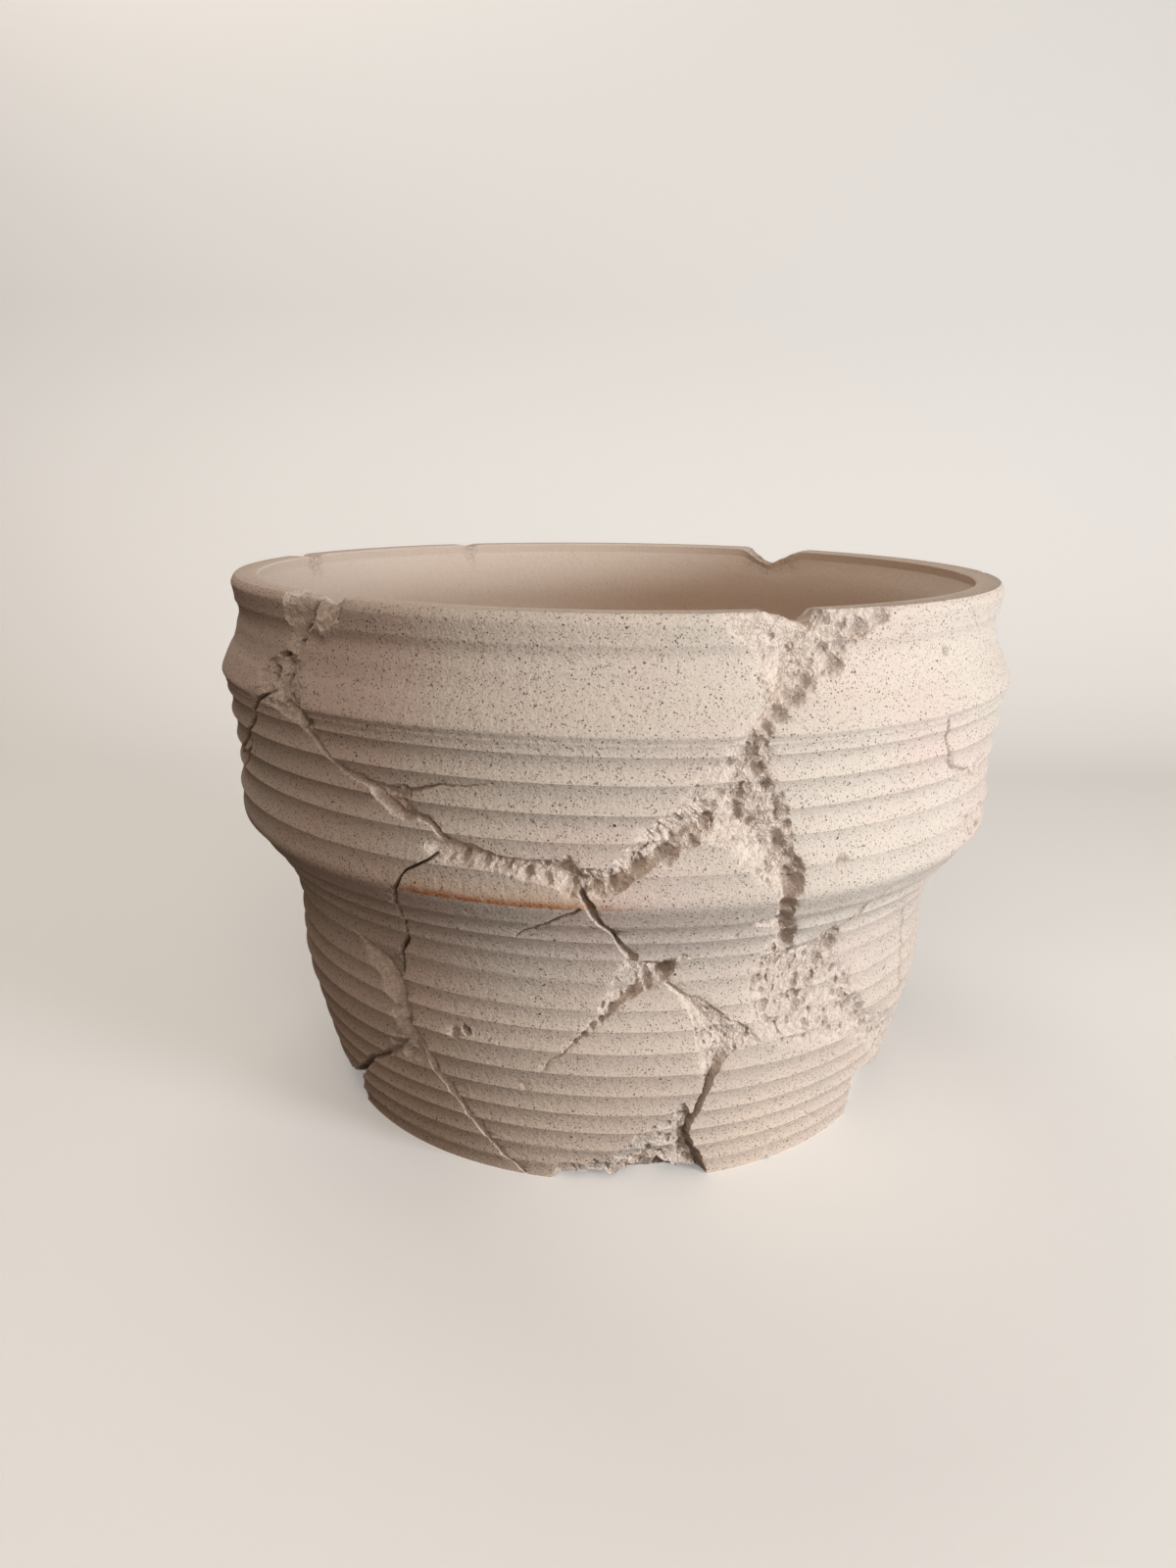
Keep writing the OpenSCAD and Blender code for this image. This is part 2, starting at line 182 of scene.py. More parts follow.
# Cracks: rows of (angle, height, half-width, depth)
CRACKS = {
    "left side": [
        (-47, 150.5, 0.8, 2.5), (-50, 147.5, 0.8, 3), (-52, 144.5, 0.7, 3), (-53.5, 141.5, 0.8, 3),
        (-55, 138, 0.8, 3), (-57, 134.5, 1.0, 3.2), (-58.5, 132.5, 1.1, 3.2), (-60, 131, 1.0, 3),
        (-62, 128, 0.9, 2.5), (-65, 124.5, 0.7, 1.8), (-69, 121, 0.4, 0.8),
    ],
    "left side fork": [
        (-58, 131, 0.7, 2.4), (-58.5, 128, 0.8, 2.4), (-60, 126, 0.8, 2.2), (-62, 123.5, 0.7, 1.8),
        (-65, 119, 0.5, 0.8),
    ],
    "left front": [
        (-40.5, 145, 1.8, 2.5), (-40.2, 142, 1.2, 2), (-38.5, 139, 0.9, 1.6), (-37, 136.5, 0.8, 1.5),
        (-35.5, 134, 0.8, 1.5), (-34, 132, 0.9, 1.6), (-32, 130.7, 1.0, 1.7), (-30, 130, 1.3, 2),
        (-28.6, 127.6, 2.2, 2.6), (-27, 124.2, 2.3, 2.8), (-25.2, 122, 1.5, 2.4), (-24, 123, 1.2, 2),
        (-22, 122, 0.9, 1.8), (-20.7, 119.7, 0.9, 2), (-19.8, 117.6, 1.2, 2.4),
    ],
    "left spur": [
        (-25.5, 128, 1.0, 1.6), (-24, 129.6, 0.8, 1.5), (-22.6, 130.6, 0.7, 1.4), (-21, 132, 0.5, 1.1),
        (-19, 132.6, 0.35, 0.8), (-16, 133.3, 0.3, 0.6), (-13.5, 134, 0.2, 0.3),
    ],
    "left thin": [
        (-21, 112.6, 0.6, 2.2), (-22.7, 110.4, 0.5, 2.2), (-24, 108.5, 0.5, 2.2), (-25.3, 107, 0.55, 2.4),
        (-26.2, 104.3, 0.6, 2.6), (-27.3, 100.5, 0.6, 2.8), (-28.7, 96, 0.6, 2.8), (-29.5, 92, 0.6, 2.6),
        (-30, 89, 0.7, 2.6), (-30, 86, 0.75, 2.8), (-30.7, 84, 0.7, 2.6), (-30.8, 80, 0.75, 2.6),
        (-32, 77, 0.8, 2.6), (-33, 74.8, 0.9, 3), (-33.3, 70.2, 1.0, 3.2), (-33.6, 66, 1.2, 3.6),
    ],
    "left foot": [
        (-33.5, 43.5, 2.2, 3), (-36, 39.5, 2, 2.6), (-38, 36, 1.6, 2.4), (-40, 33.5, 1.3, 2.2),
        (-41.5, 31.8, 1.2, 2.2), (-43, 30, 1.2, 2.2), (-45, 28.3, 1.1, 2.2), (-47, 25, 1.2, 2.4),
        (-49, 22.5, 1.3, 2.8), (-51, 19.2, 1.5, 3.4), (-53.5, 15.8, 1.8, 4), (-58, 11, 2, 4.6),
    ],
    "middle foot": [
        (-31.5, 44, 2.6, 3), (-30, 40, 2.3, 3), (-28.7, 35, 1.8, 2.6), (-27, 30.5, 1.7, 2.4),
        (-25.5, 26, 1.6, 2.3), (-24, 21.5, 1.5, 2.2), (-22.5, 17.5, 1.4, 2.1), (-21, 13.5, 1.2, 1.9),
        (-19.7, 10.2, 1.0, 1.6), (-18.2, 6.8, 0.8, 1.3), (-16.5, 3.8, 0.7, 1.1), (-14, -1, 0.6, 1),
    ],
    "centre": [
        (-5, 114.5, 1.2, 0.8), (-4.3, 111, 1.4, 1.8), (-3.8, 107.7, 1.5, 2.8), (-3, 104.7, 1.2, 3),
        (-2.2, 101.3, 1.2, 2.6), (-1.7, 98.2, 1.0, 2.4), (-1, 94.8, 0.9, 2.2), (0, 92.2, 0.9, 2.2),
        (1, 89.2, 0.9, 2.2), (2, 85.4, 1.2, 2.4), (3.2, 81.6, 1.6, 2.6),
    ],
    "centre spur": [
        (-3.6, 100.6, 0.5, 1.2), (-5.7, 97.9, 0.4, 1), (-7.3, 95.2, 0.4, 0.9), (-9, 93.3, 0.4, 0.8),
        (-11, 90.7, 0.35, 0.7), (-12.5, 88, 0.25, 0.4),
    ],
    "centre tail": [
        (0.6, 65, 1.2, 1), (-0.4, 62, 1.0, 1), (-1.3, 60.7, 0.9, 0.9), (-2.3, 59.4, 0.9, 0.9),
        (-3.7, 56.2, 0.7, 0.8), (-5, 53.1, 0.6, 0.7), (-6.7, 49.7, 0.45, 0.5), (-8.7, 46.7, 0.35, 0.4),
        (-10, 42, 0.2, 0.25),
    ],
    "right of centre": [(7.5, 80, 0.8, 1.2), (10, 81.8, 0.9, 1), (11.5, 81.2, 0.5, 0.6), (13, 83, 0.3, 0.3)],
    "foot run": [
        (16.2, 42, 0.9, 2.2), (16.2, 38.5, 1.3, 2.6), (15.4, 32, 1.2, 2.8), (14.6, 27, 1.2, 2.8),
        (13.5, 22, 1.2, 2.8), (13.3, 18.5, 1.2, 3), (14.2, 14, 1.6, 3.4), (15.5, 9, 1.8, 3.8),
        (16.6, 4, 2, 4), (17.8, -1, 2.2, 4),
    ],
    "right side": [
        (44.7, 146, 0.5, 0.9), (45.2, 143.4, 0.7, 1.2), (45.7, 139.6, 0.6, 1.1), (46.7, 135, 0.6, 1.2),
        (48, 131.6, 0.7, 1.3), (49.7, 129.3, 1.0, 1.6), (51.7, 127.2, 1.4, 2), (55, 125.6, 1.5, 1.8),
        (58.5, 126.6, 1.5, 1.8), (62, 128, 0.8, 1),
    ],
    "right branch": [
        (34.2, 84, 1.8, 1.8), (36.3, 86.6, 1.2, 1.5), (37.7, 89.4, 1.1, 1.5), (38.5, 92.5, 1.0, 1.4),
        (39.7, 95, 0.8, 1.2), (41.2, 97.5, 0.6, 0.9), (42.5, 99.5, 0.3, 0.4),
    ],
    "right edge": [
        (54, 79, 0.6, 1), (56, 73, 0.9, 1.3), (57.5, 67, 1.1, 1.6), (58.6, 60, 1.2, 1.8),
        (59.6, 52, 1.4, 1.8), (60.6, 45, 1.8, 2),
    ],
    "small chip": [(-22.2, 52.8, 1.2, 4.5), (-21.8, 52, 1.2, 4.5)],
    "left pit 1": [(-40.6, 175.5, 1.2, 5), (-40.8, 170.5, 1.2, 4.6)],
    "left pit 2": [(-43.4, 164.4, 1.3, 4.4), (-42.6, 163.4, 1.3, 4.4)],
    "left pit 3": [(-47.2, 160, 0.9, 3.4), (-46, 160.4, 0.9, 3.4)],
    "left pit 4": [(-48.8, 156.6, 0.9, 3.6), (-47.8, 155.2, 1.0, 3.6)],
    "left pit 5": [(-44.8, 154.8, 1.1, 4), (-44.2, 152.6, 1.1, 4)],
    "left pit 6": [(-43, 150.2, 0.9, 3.4), (-42.2, 148.8, 0.9, 3.4)],
    "left pit 7": [(-41, 145.6, 1.0, 3.6), (-40.2, 143.8, 1.0, 3.4)],
    "left pit 8": [(-34.6, 175.5, 0.9, 3), (-35, 172.6, 0.9, 2.8)],
    "rim line": [(49.5, 177.5, 0.3, 0.3), (51, 175.5, 0.4, 0.5), (53.5, 172, 0.4, 0.5), (56, 168, 0.25, 0.3)],
    "scratch left": [(-14.5, 38.5, 0.25, 0.15), (-13, 36, 0.3, 0.2), (-12.6, 33.5, 0.2, 0.1)],
    "scratch right": [(36.5, 16.5, 0.25, 0.3), (39, 13.3, 0.3, 0.35), (42.3, 9, 0.2, 0.2)],
}

# Breaks: outline (angle, height), the deepest line (angle, height, depth), the size and the slant
# in degrees of its torn grain, and how rough it is. Pits are their spacing, the share of places
# that have one, and their depth. fade is how far in from the outline a soft edge reaches.
SHARP = 0.5
NO_PITS = (2.0, 0.0, 0.0)
# Edge of the left arm, down its upper side and back along its lower one
ARM_EDGE = [
    (9, 135), (7.7, 130.5), (6.3, 128.2), (5, 125.2), (3.7, 123.3), (3, 120.3), (1.7, 118.3),
    (1, 116.4), (-0.3, 112.6), (-3.3, 112.6), (-5, 112), (-5.3, 106), (-4.7, 104.3),
    (-2.7, 105.8), (-1.3, 104.7), (0.3, 105.4), (1.7, 107.3), (2.7, 109.6), (4.2, 111.1),
    (5.7, 114.2), (8, 117.2), (10, 118.7),
]
BREAKS = {
    "trunk": dict(
        outline=[
            (10.5, 182), (11.7, 177.5), (12.7, 174.4), (14, 170.6), (16.3, 168.7), (16.5, 164.6),
            (16.2, 161.2), (17, 159.3), (17.5, 155.9), (15.7, 154), (15.2, 151.7), (13.7, 148.7),
            (12.3, 145.6), (11.7, 141.8), (10.3, 138.8), *ARM_EDGE,
            (11.7, 118.7), (13.3, 117.2), (14.7, 115.7), (15, 112.6), (17, 109.6),
            (18.7, 105.8), (20.2, 104.3), (20, 102), (20.7, 99), (21.7, 96), (19.3, 94.8),
            (18.8, 91.4), (21, 90.7), (23, 89.9), (23, 86.9), (22.3, 82.3), (22, 78.5), (28.3, 79.5),
            (27, 82), (26.7, 86.1), (25.8, 91), (24.3, 92.9), (23.7, 96), (22.7, 102),
            (23.8, 103.5), (23.3, 111.1), (22, 114.9), (21.5, 121), (21.3, 123.3), (20, 124.4),
            (19.3, 129), (18.7, 135), (17.5, 139.6), (18.3, 142.2), (17.3, 145.6), (17.5, 150.2),
            (19, 151), (19.7, 154.3), (22, 156.2), (23.3, 160), (27.5, 162.3), (28.3, 167.6),
            (31.3, 171.4), (33.7, 174.8), (34.5, 182),
        ],
        deepest=[
            (22, 182, 3.4), (21.5, 174, 3.4), (20, 168, 3.2), (19.6, 160, 3.2), (17.5, 154.5, 3),
            (15.5, 150, 1.6), (14.6, 145, 1.5), (14, 139.5, 1.9), (13.5, 133, 2.5), (14.5, 127, 2.8),
            (17, 121, 2.8), (19, 115, 3), (20.9, 109, 3.4), (21.8, 104, 3.2), (21.8, 99, 3),
            (22.8, 93, 3), (24.4, 88, 2.8), (25.3, 82, 2.2),
        ],
        grain=(1.1, 45), rough=0.5, pits=(2.6, 0.2, 0.8),
    ),
    "left arm": dict(
        outline=[(12, 131), *ARM_EDGE, (12, 121)],
        deepest=[(11, 126, 3.6), (7.5, 121, 3.6), (4.5, 115.5, 3.6), (1.5, 110.5, 3.8), (-3, 107.5, 3.8)],
        grain=(0.9, -45), rough=0.8, pits=(2.4, 0.2, 0.8),
    ),
    "ridge": dict(
        outline=[
            (-23.2, 114.6), (-22.2, 116.4), (-20.4, 118), (-17.7, 117.6), (-15, 116),
            (-11.7, 114.2), (-8.3, 114.2), (-5, 114.5),
            (-3.3, 112.6), (-0.3, 112.6), (0.5, 106), (-1.3, 104.7), (-2.7, 105.8),
            (-4.7, 104.3), (-6.3, 106.2), (-7.7, 107.7), (-10, 108.5), (-12, 109.6), (-14, 110.5),
            (-19.5, 110.8), (-21.6, 111.8),
        ],
        deepest=[
            (-21, 115, 2.2), (-17, 115.2, 2.8), (-13, 113, 3.0), (-9, 112.4, 3.2), (-6, 111.5, 3.4),
            (-3, 109, 3.4),
        ],
        grain=(1.0, 60), rough=0.55, pits=(2.6, 0.3, 0.8),
    ),
    "left triangle": dict(
        outline=[
            (-30, 131), (-28, 130.8), (-24.5, 130.8), (-23.4, 129.5), (-24, 127), (-25, 123.5),
            (-27, 124), (-29, 127.5),
        ],
        deepest=[(-28, 129, 1.8), (-26, 127.5, 2.2), (-25.3, 125, 2.2)],
        grain=(0.9, 0), rough=0.6, pits=(1.8, 0.5, 0.8),
    ),
    "left rim": dict(
        outline=[
            (-46.2, 182), (-45.7, 178), (-45.7, 170.6), (-44.8, 168.7), (-45.3, 165), (-46, 161),
            (-43, 159), (-42.2, 163), (-41, 168.5), (-39.4, 171), (-38.6, 176), (-38.6, 182),
        ],
        deepest=[
            (-40.6, 182, 4.6), (-40.6, 175, 4.4), (-42, 169, 3.6), (-43.4, 163, 2.6), (-44.5, 160.5, 1.6),
        ],
        grain=(2.2, 75), rough=0.2,
    ),
    "left gouge": dict(
        outline=[
            (-45, 76), (-42, 71), (-41.3, 67.2), (-40.7, 65), (-38.7, 62.2), (-37.3, 57.7),
            (-35.7, 54.6), (-36.3, 51.6), (-35.7, 49.7), (-35.7, 45.5), (-38.3, 41), (-37.5, 38.5),
            (-34, 35.5), (-31.5, 36), (-29.4, 39), (-30.2, 42.5), (-30.8, 47.4), (-31.8, 48.6),
            (-31.8, 51.6), (-32.3, 55.4), (-32.7, 60), (-33.4, 65), (-33.4, 70), (-35, 71.5),
            (-36.3, 69.5), (-39.3, 71.5), (-42.5, 73.5),
        ],
        deepest=[
            (-44.5, 76, 0.5), (-41, 70.5, 1.6), (-37.8, 67, 3), (-36, 62, 4.2), (-34.6, 57, 4.8),
            (-33.8, 52, 4.8), (-33.3, 47, 4.4), (-33.2, 42.5, 3.8), (-33.4, 38.5, 2.2),
        ],
        grain=(1.8, 75), rough=0.1,
    ),
    "node": dict(
        outline=[
            (2, 81.5), (3.6, 80.3), (6.7, 80.3), (8.8, 79.7), (8.8, 75.9), (8.3, 73.2), (7, 72.5),
            (5.3, 70), (3.7, 67.9), (2.3, 66.4), (1, 64.2), (-0.5, 62), (-1.6, 63), (-0.8, 67.9),
            (0.4, 72.5), (1.4, 77),
        ],
        deepest=[(2.8, 80, 2.4), (7.6, 77.5, 3), (5.2, 74, 2.6), (3.2, 70, 2.2), (0.6, 65, 1.8)],
        grain=(1.1, 45), rough=0.5, pits=(2.4, 0.45, 0.9),
    ),
    "wedge": dict(
        outline=[
            (7.5, 74), (8.6, 73.2), (10, 71), (11.7, 68.3), (13.3, 67.6), (15, 65), (16.7, 62.2),
            (18.3, 59.6), (20, 57.3), (21.7, 55.4), (22.7, 53.1), (24.5, 49.5), (20, 49), (18.2, 46),
            (17.3, 42), (16.8, 38), (14.6, 38), (14.4, 42.5), (14, 46.3), (13.7, 50.1), (13.2, 53.9),
            (12.6, 57.7), (11.9, 62.2), (10.8, 65.9), (9.6, 69),
        ],
        deepest=[
            (8.6, 72, 1.0), (11.8, 66, 1.6), (14.3, 61, 2.0), (16.3, 56.5, 2.0), (17.6, 51.5, 2.0),
            (17, 47, 2.2), (16.3, 41, 2.6),
        ],
        grain=(1.1, -50), rough=0.6, pits=(2.2, 0.35, 0.8),
    ),
    "crumble": dict(
        outline=[
            (22, 79), (25, 80.4), (28.3, 80.8), (30.5, 83), (32.3, 84.9), (34.7, 85.6), (36.3, 83),
            (36.6, 77), (36, 71), (39, 70), (41.5, 66.5), (42, 64), (42.5, 60), (44.5, 56), (46, 52),
            (48.5, 48), (51, 46.5), (56, 43), (61, 38), (66, 30), (65, 22), (60, 20), (56, 24),
            (53, 29), (50, 33), (46, 38), (43, 40.5), (39, 42), (36, 43), (33, 43.5), (30, 45),
            (27, 47), (24, 49.7), (23, 54), (22, 58), (21.2, 63), (20.6, 68), (21, 73),
        ],
        deepest=[
            (25, 77, 2.2), (31.5, 78, 2.4), (30, 70, 2.0), (27, 62, 1.9), (33, 60, 2.1), (37, 62, 2),
            (40, 54, 1.9), (45, 46, 1.8), (50, 40, 1.7), (57, 32, 1.6),
        ],
        grain=(1.5, 55), rough=0.5, pits=(2.6, 0.5, 1.0),
        fade=3.0,
    ),
    "foot crumble": dict(
        outline=[
            (12.6, 31), (11, 28.5), (9.5, 24.5), (7, 20.5), (5, 19.5), (4.3, 15.5), (2.5, 14),
            (0.5, 9.5), (-1.5, 8), (-3, 6), (-6, 3.5), (-9, 2.5), (-10.5, -3), (19.5, -3), (18.5, 1),
            (17.6, 4.5), (16.6, 8.5), (15, 13), (14.2, 17), (14, 20.5), (14.3, 25),
        ],
        deepest=[
            (13.6, 27, 2.4), (12.2, 21, 2.6), (12.5, 16, 3), (13.5, 11, 3.4), (13, 6, 3.8), (8, 4, 3.2),
            (3, 2, 2.4), (-4, 0, 1.4),
        ],
        grain=(1.6, 30), rough=0.38, pits=(2.4, 0.3, 0.8),
    ),
    "right patch": dict(
        outline=[
            (54, 113), (57, 112), (61, 112.5), (66, 111), (68, 105), (63, 103), (59, 102.5), (56, 104),
            (54.5, 108),
        ],
        deepest=[(57, 108, 1.1), (63, 107.5, 1.3)],
        grain=(1.0, 0), rough=0.6, pits=(2.2, 0.5, 0.8),
    ),
    "left rim scoop": dict(
        outline=[
            (-39.2, 182), (-39, 176.5), (-38.2, 172), (-36.8, 170.6), (-35, 172.2), (-33.8, 174.6),
            (-33.6, 182),
        ],
        deepest=[(-35.6, 182, 3.6), (-35.8, 176, 3.4), (-36.6, 172.6, 1.8)],
        grain=(1.6, 60), rough=0.25,
    ),
    "left rim crumbs": dict(
        outline=[
            (-46, 161.5), (-47.4, 160), (-50, 157.5), (-51.5, 155), (-51, 151), (-53, 148), (-50, 146.5),
            (-47, 146), (-43.5, 144), (-40, 142), (-38.5, 143.5), (-39.5, 147), (-39.8, 150),
            (-40.5, 153), (-42, 155.5), (-42.6, 160),
        ],
        deepest=[(-44.3, 160, 2.4), (-46.2, 156, 3), (-47.2, 152.5, 2.8), (-44.5, 149, 2), (-41, 146, 2.2)],
        grain=(1.2, 50), rough=0.5, pits=(2.8, 0.55, 1.4),
    ),
}

# Parts of the foot that have gone: outline, and how far the wall is set back there
SET_BACK = [
    ([(-49, 23.5), (-53.5, 15.6), (-58, 11), (-64.5, 7.6), (-75, 7), (-92, 4), (-92, -3), (-57.5, -3),
      (-56.2, 7), (-54.2, 12), (-52.4, 16), (-51, 19)], 5.2),
    ([(50.3, 20.8), (53.3, 19.9), (55.2, 19.3), (59.1, 16.8), (64, 14), (75, 10), (90, 5), (90, -3),
      (56, -3), (55, 5), (53.9, 9.4), (53, 13), (51.9, 16.5)], 4.6),
]

# Bites: round scoops as (angle, height, radius)
BITES = [
    (32.5, 175.5, 2.6), (29.5, 172.6, 3.1), (27.3, 169.2, 2.2), (25, 168, 1.7), (26.4, 163.6, 3.1),
    (22.5, 160.2, 2.7), (20.8, 156.8, 2.6), (22, 164.8, 0.9), (23.3, 164, 1.0), (25, 162, 1.0),
    (17.6, 157.2, 1.7), (18.6, 152.4, 2.2), (16.8, 149.8, 2.0), (24.6, 176, 2.4), (27, 173.5, 1.8),
    (15.6, 147.4, 1.9), (15.2, 143.4, 2.4), (13.2, 140.6, 1.6), (16.2, 138.8, 2.2), (17.2, 134.6, 2.2),
    (19.2, 129.8, 2.2), (19.7, 126.6, 2.4), (14.5, 131.5, 1.9), (14.4, 128.4, 1.9), (14.7, 125.4, 1.8),
    (12.5, 132, 1.6), (11.5, 129.2, 1.5), (20.8, 123, 1.6), (19.6, 119.8, 2.0), (20.2, 116.6, 2.0),
    (21.2, 113.6, 1.6), (22.2, 110.6, 2.6), (22.4, 107, 2.6), (22.4, 103.8, 2.4), (22.2, 98.6, 2.8),
    (22.8, 93.6, 2.2), (24.2, 89.6, 2.4), (25.6, 85.8, 2.2), (25.9, 82.6, 2.0), (17.5, 110.6, 1.3),
    (6.4, 116.2, 2.6), (3.0, 113.8, 2.4), (9.2, 119.6, 1.6), (-7.6, 109.2, 1.7), (-4.6, 107.6, 2.0),
    (-9.8, 110.4, 1.6), (-12.4, 111.4, 1.4), (-15, 112.4, 1.6), (-17.6, 113.4, 1.7), (-2, 107, 1.6),
    (0.2, 108.2, 1.7), (8, 77.7, 2.6), (5.3, 74.2, 1.8), (3.1, 69.3, 1.6), (0.4, 64.4, 1.4),
    (-1.2, 60.9, 1.2), (-2.4, 58.6, 1.1), (-3.6, 56, 1.0), (-4.9, 53.2, 0.9), (-6.4, 50.2, 0.7),
    (22.2, 70, 2.2), (24.2, 61.2, 2.0), (30.4, 62, 2.0),
    (30.6, 58.6, 1.8), (37, 50, 1.6), (47.5, 40, 1.6), (48.5, 35.5, 1.4), (45, 50, 2.2), (42.4, 53.4, 2.0),
    (34.6, 82.4, 2.4), (34.9, 77.6, 2.2), (33.2, 73.4, 2.2), (27.2, 78.2, 2.0), (24.6, 75, 1.6),
    (28.6, 110.5, 2.0), (17, 88.5, 0.8), (19.5, 93, 1.2), (46.5, 163.8, 1.8), (37.2, 170.7, 0.7),
    (24, 28.5, 0.6), (-24, 50.8, 1.8), (52, 124.3, 1.0), (57.5, 124, 1.3),
    (58.5, 127.5, 1.4), (-43.5, 163.8, 1.6), (-39.3, 174.3, 2.0), (-42, 168.6, 1.4), (-48.4, 153.6, 1.6),
    (-44.2, 155, 1.5), (-46, 158, 1.3), (-38.8, 143.8, 1.5), (-33.5, 46.5, 1.6), (-32.3, 44, 1.6),
    (-34.2, 37.2, 2.0), (10.2, 80.6, 0.8), (48.5, 83, 0.6), (42.8, 74, 0.5), (15, 3.5, 2.4),
    (9.2, 5.6, 2.2), (5, 3.6, 1.6), (12.8, 12.4, 1.8), (10.5, 16, 1.8), (7.2, 12.6, 1.6),
    (15.9, 35.5, 1.1), (15, 29.5, 1.3), (13.8, 23.5, 1.2), (13, 19.5, 1.4), (13.8, 16, 1.5),
    (14.8, 11.5, 1.6), (16.1, 6.5, 1.7), (17.2, 2, 1.6), (12, 26, 1.2), (10.2, 22, 1.4),
]

# Notches right through the rim: rows of (angle, depth below the rim)
RIM_NOTCHES = [
    (-180, 0), (-150.5, 0), (-148.5, 1.1), (-146.8, 0), (-110.5, 0), (-108, 2), (-105.5, 0),
    (-45.7, 0), (-45, 0.7), (-41.2, 0.9), (-40.4, 1.6), (-38.8, 3.2), (-38.2, 4.8), (-37.2, 3.1),
    (-35.4, 0.4), (-34, 0), (12, 0), (17.4, 0), (18.7, 1.4), (20, 1.8), (21.3, 3.1), (22.7, 3.9),
    (23.3, 2.4), (24.2, 0.4), (25, 0), (89, 0), (90, 0.5), (91, 0), (139.5, 0), (142, 2.4),
    (144.5, 5.2), (146.8, 7.3), (149, 5.4), (151.8, 1), (153, 0), (180, 0),
]
# The arch out of the foot: rows of (angle, height of its underside)
FOOT_ARCH = [
    (-180, 0), (-10, 0), (-9, 1), (-7.5, 2.2), (-5, 2.7), (-4.3, 1.8), (-3, 2.6), (0, 2.8),
    (0.7, 1.6), (1.7, 1.6), (3, 3), (3.8, 3.6), (4, 5.6), (5, 5), (6, 5.7), (7, 7.2), (8.3, 7.4),
    (9.5, 7), (10.7, 5.8), (12, 4), (13, 3.5), (14, 4.4), (15.5, 3.6), (17, 2.5), (18, 0.8),
    (19, 0), (30.5, 0), (31.2, 1.3), (32.3, 0), (180, 0),
]
ARCH_DEPTH = 7.0
# Over what height the wall is drawn down under a notch in the rim, and up over the foot's arch
RIM_REACH = 16.0
FOOT_REACH = 12.0
# Clay that is left behind a break, and behind all the damage together
BEHIND_BREAKS = 1.5
BEHIND_DAMAGE = 1.2

# Where the seeds of each kind of damage start
BREAK_SEED = 100
CRACK_SEED = 300
BITE_SEED = 500
SET_BACK_SEED = 700
RIM_SEED = 900
FOOT_SEED = 950


def signed(angle):
    """The same angle, from -180 to 180."""
    return (angle + 180) % 360 - 180


def across(angles, heights):
    """The same places in mm, across the wall and up it."""
    return np.asarray(angles, float) * ARC, np.asarray(heights, float)


def near_line(x, y, line):
    """Distance to a line of points, and the line's other values at the nearest place."""
    points = np.array(line, float)
    px, py = across(points[:, 0], points[:, 1])
    best = np.full(x.shape, 1e9)
    values = np.zeros((len(points[0]) - 2,) + x.shape)
    for i in range(len(points) - 1):
        dx, dy = px[i + 1] - px[i], py[i + 1] - py[i]
        share = np.clip(((x - px[i]) * dx + (y - py[i]) * dy) / (dx * dx + dy * dy), 0, 1)
        distance = np.hypot(x - px[i] - share * dx, y - py[i] - share * dy)
        closer = distance < best
        best = np.where(closer, distance, best)
        for k in range(len(values)):
            value = points[i, k + 2] + share * (points[i + 1, k + 2] - points[i, k + 2])
            values[k] = np.where(closer, value, values[k])
    return best, values


def inside_outline(x, y, outline):
    """Distance in from an outline, below 0 outside it."""
    px, py = across(*zip(*outline))
    distance = np.full(x.shape, 1e9)
    inside = np.zeros(x.shape, bool)
    for i in range(len(px)):
        j = (i + 1) % len(px)
        dx, dy = px[j] - px[i], py[j] - py[i]
        share = np.clip(((x - px[i]) * dx + (y - py[i]) * dy) / (dx * dx + dy * dy), 0, 1)
        distance = np.minimum(distance, np.hypot(x - px[i] - share * dx, y - py[i] - share * dy))
        crosses = (py[i] > y) != (py[j] > y)
        at = px[i] + (y - py[i]) * dx / (dy if dy else 1e-9)
        inside ^= crosses & (x < at)
    return np.where(inside, distance, -distance)


def close_to(x, y, places, margin):
    """Which points lie within a margin of a set of places."""
    px, py = across([p[0] for p in places], [p[1] for p in places])
    return (
        (x > px.min() - margin) & (x < px.max() + margin) & (y > py.min() - margin) & (y < py.max() + margin)
    )


def ragged(x, y, amount, size, seed):
    """Places moved about a little, so that an edge drawn through them is uneven."""
    return x + amount * rough_noise(x, y, size, seed), y + amount * rough_noise(x, y, size, seed + 5)


def crack_depth(x, y, row, seed):
    """Depth of a crack, and how much shade to paint at each place down in it, more where the crack is narrow
    and deep, from 0 to 1.
    """
    wx, wy = ragged(x, y, 0.5, 3.0, seed)
    distance, (half, depth) = near_line(wx, wy, row)
    half = half * (1 + 0.3 * soft_noise(x, y, 2.5, seed + 3))
    share = np.clip(1 - distance / half, 0, 1)
    steep = np.clip((depth / half - 1) / 2, 0, 1)
    return depth * share**0.6, steep * share**0.7


def break_texture(x, y, grain, seed):
    """Broken clay: torn grain along a slant and tilted faces, from about -1 to 1."""
    size, slant = grain
    turn = math.radians(slant)
    x, y = ragged(x, y, 0.8 * size, 3.0 * size, seed + 3)
    along = x * math.cos(turn) + y * math.sin(turn)
    square = y * math.cos(turn) - x * math.sin(turn)
    torn = 1 - 3 * np.abs(rough_noise(along / 2.5, square, 1.4 * size, seed, 2))
    faces = faceted(along / 1.5, square, 2.6 * size, seed + 29)
    return 0.35 * torn + 0.45 * faces


